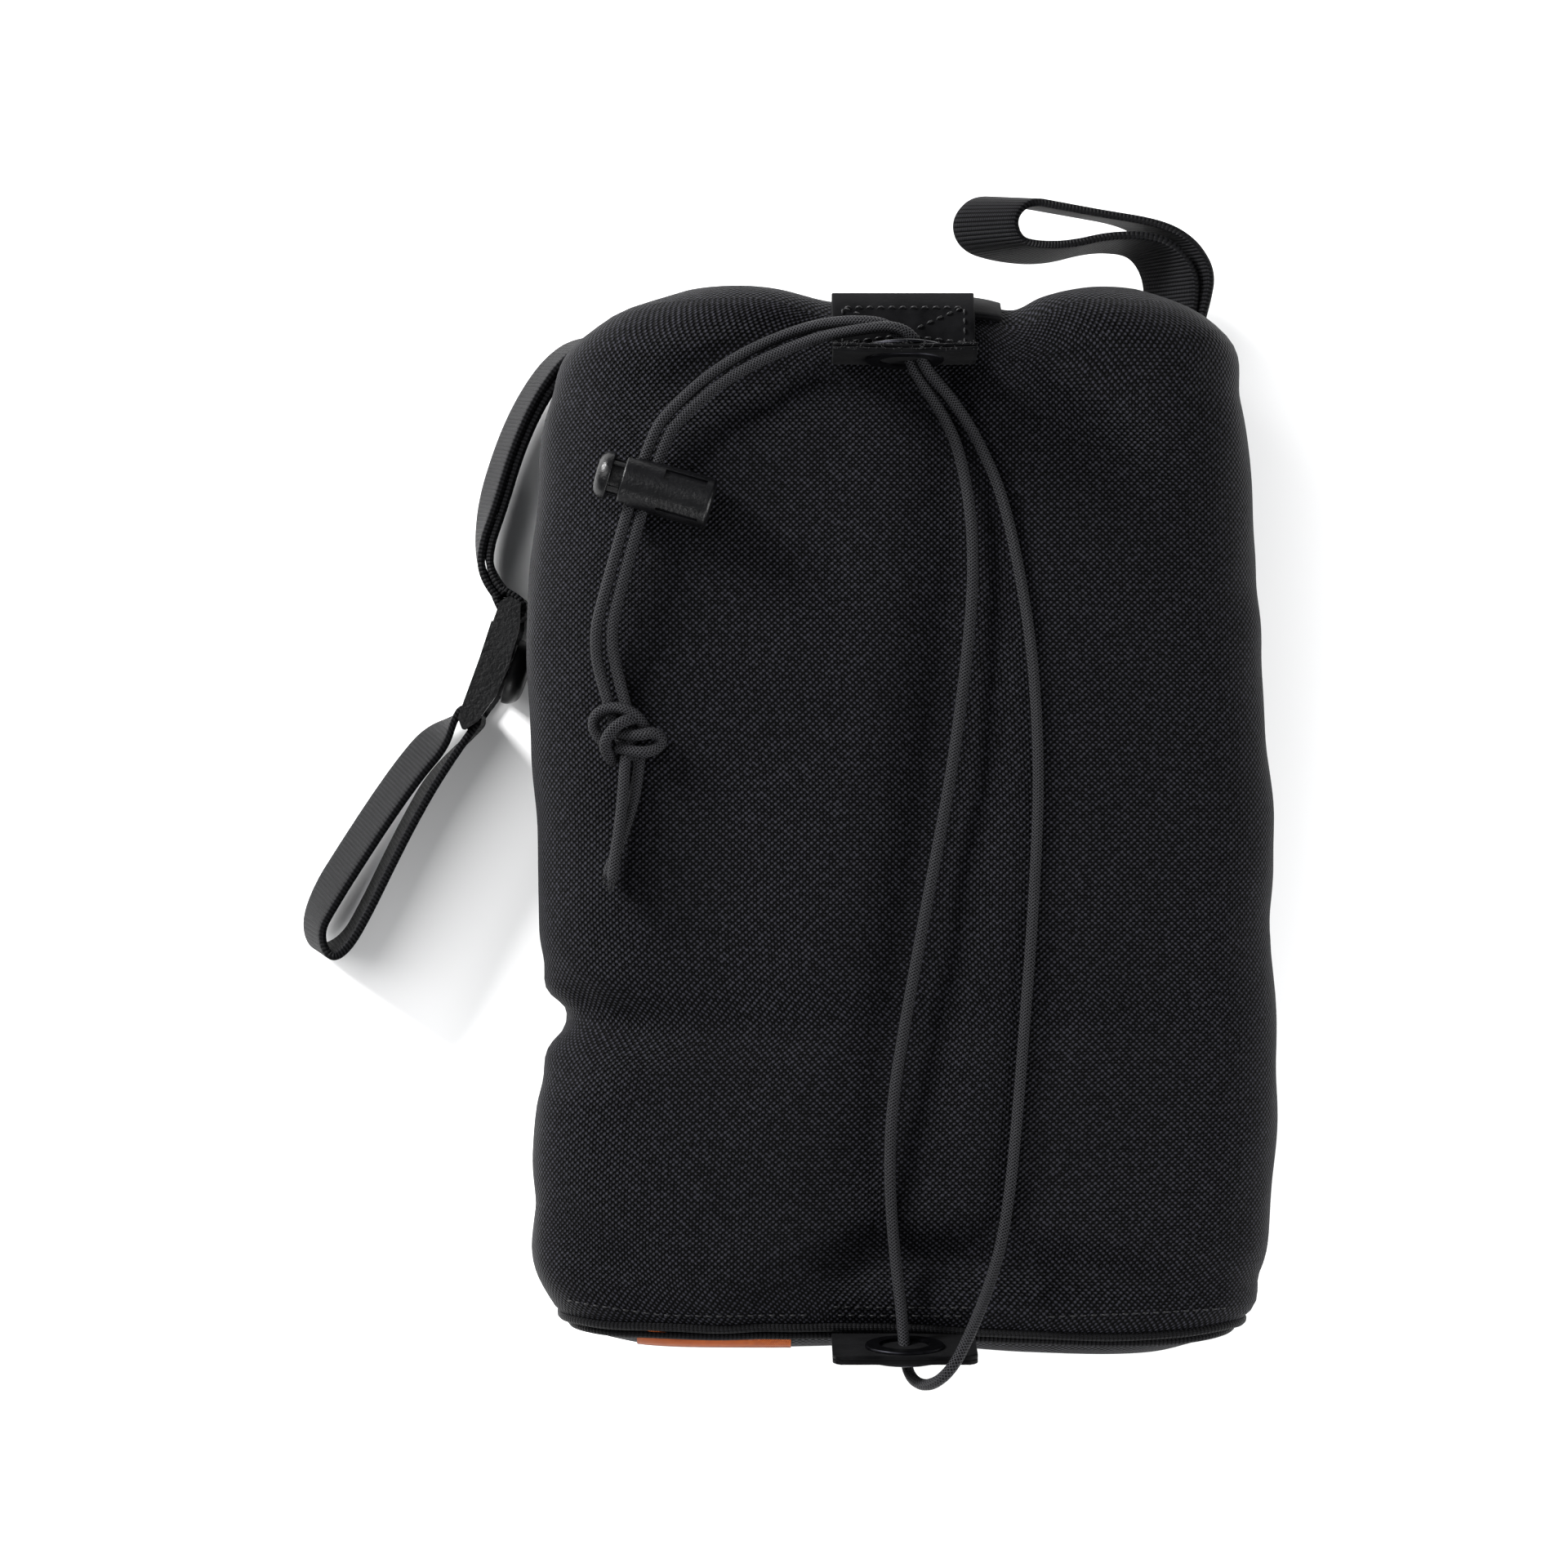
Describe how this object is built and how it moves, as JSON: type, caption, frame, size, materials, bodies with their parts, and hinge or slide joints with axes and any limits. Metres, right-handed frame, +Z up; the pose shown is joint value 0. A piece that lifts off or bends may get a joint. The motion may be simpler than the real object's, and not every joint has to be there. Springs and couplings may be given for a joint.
{
  "type": "stuffed support bag",
  "caption": "Stuffed woven-nylon support bag lying flat, with an elastic cord and sliding cord lock on its front, a side strap with a snap buckle and webbing pull loops.",
  "frame": {"origin": "middle of the flat underside on which the bag lies", "axes": "+Z up out of the front face, +Y towards the top seam, +X to the right seen from the front"},
  "size_m": [0.2483, 0.2976, 0.1181],
  "materials": {
    "woven_nylon": "coarse plain weave, matte",
    "seam_tape": "ribbed tape, matte",
    "webbing": "ribbed woven webbing, matte",
    "elastic_cord": "fine braid, slight sheen",
    "liner_cloth": "thin woven cloth, matte",
    "label_cloth": "satin weave, matte",
    "coated_fabric": "rubber-coated cloth, satin",
    "foam_beads": "loose foam beads, matte",
    "lock_plastic": "spark-textured satin",
    "buckle_plastic": "fine-grained satin",
    "stud_plastic": "smooth satin",
    "eyelet_metal": "black lacquer",
    "spring_steel": "drawn wire",
    "magnet": "nickel plated"
  },
  "bodies": {
    "bag": {"cover_wrap": "woven_nylon", "cover_top_panel": "woven_nylon", "cover_bottom_panel": "woven_nylon", "bottom_seam_binding": "seam_tape", "fill_liner": "liner_cloth", "bead_fill": "foam_beads", "blank_label": "label_cloth", "top_tab": "coated_fabric", "top_tab_patch": "coated_fabric", "top_eyelet": "eyelet_metal", "top_eyelet_washer": "eyelet_metal", "bottom_tab": "coated_fabric", "bottom_eyelet": "eyelet_metal", "bottom_eyelet_washer": "eyelet_metal", "shock_cord": "elastic_cord", "cord_knot": "elastic_cord", "cord_tails": "elastic_cord", "strap_anchor": "webbing", "pull_loop_root": "webbing"},
    "cord_lock": {"cord_lock_barrel": "lock_plastic", "cord_lock_spring": "spring_steel"},
    "lock_plunger": {"cord_lock_plunger": "lock_plastic"},
    "strap": {"side_strap": "webbing"},
    "buckle": {"strap_buckle": "buckle_plastic", "snap_stud": "stud_plastic", "snap_magnet": "magnet"},
    "end_loop": {"strap_end_loop": "webbing"},
    "pull_strap": {"pull_loop": "webbing"}
  },
  "joints": [
    {"name": "cord_lock_slide", "type": "slide", "parent": "bag", "child": "cord_lock", "axis": [-0.2749, -0.9615, 0], "range_m": [0, 0.017]},
    {"name": "lock_button_press", "type": "slide", "parent": "cord_lock", "child": "lock_plunger", "axis": [0.9615, -0.2749, 0], "range_m": [0, 0.0028], "stiffness_N_per_m": 1500, "springref_m": -0.001},
    {"name": "side_strap_swing", "type": "hinge", "parent": "bag", "child": "strap", "pos_m": [-0.0838, 0.1236, 0.012], "axis": [0, 0, 1], "range_deg": [-75, 0]},
    {"name": "buckle_swing", "type": "hinge", "parent": "strap", "child": "buckle", "pos_m": [-0.10048, 0.05444, 0.012], "axis": [0, 0, 1], "range_deg": [-35, 0]},
    {"name": "end_loop_swing", "type": "hinge", "parent": "buckle", "child": "end_loop", "pos_m": [-0.1121, 0.0258, 0.012], "axis": [0, 0, 1], "range_deg": [-30, 20]},
    {"name": "pull_loop_swing", "type": "hinge", "parent": "bag", "child": "pull_strap", "pos_m": [0.0746, 0.1364, 0.022], "axis": [0, 0, 1], "range_deg": [-60, 6]}
  ]
}
